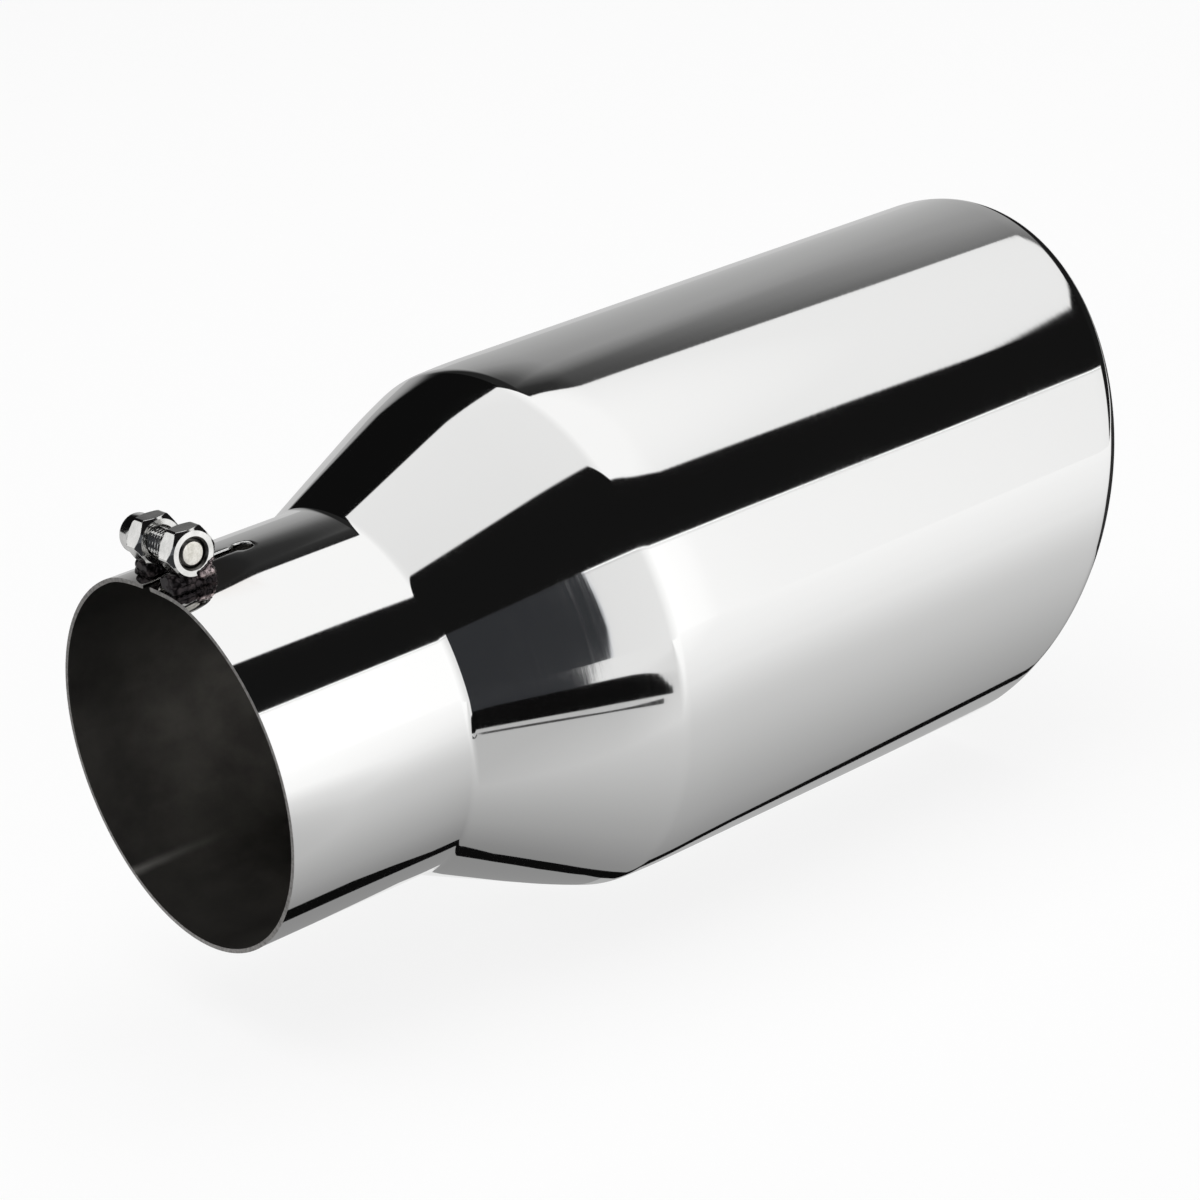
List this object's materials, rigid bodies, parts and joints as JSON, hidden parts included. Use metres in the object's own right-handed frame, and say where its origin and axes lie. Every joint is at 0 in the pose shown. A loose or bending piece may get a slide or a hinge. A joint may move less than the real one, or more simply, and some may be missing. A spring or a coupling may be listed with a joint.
{
  "type": "exhaust tip",
  "caption": "Polished steel exhaust tip with an angled, rolled outlet, a cone, and a slotted inlet neck that a screw clamps onto a tail pipe.",
  "frame": {"origin": "centre of the inlet bore, in the plane of the inlet mouth", "axes": "+X along the tube towards the outlet, +Z towards the clamping slot, the nuts and the longest side of the angled mouth"},
  "size_m": [0.3048, 0.1524, 0.1524],
  "materials": {
    "polished_sheet": "mirror-polished stainless sheet, dull inside",
    "seam_bead": "unpolished weld bead",
    "nut_steel": "bright machined steel",
    "nut_weld": "heat-tinted weld bead",
    "screw_steel": "bright machined steel"
  },
  "bodies": {
    "root": {"inlet_neck": "polished_sheet", "reducer_cone": "polished_sheet", "outlet_barrel": "polished_sheet", "neck_seam_weld": "seam_bead", "barrel_seam_weld": "seam_bead", "near_nut": "nut_steel", "far_nut": "nut_steel", "near_nut_weld": "nut_weld", "far_nut_weld": "nut_weld", "clamp_screw": "screw_steel"}
  },
  "joints": []
}
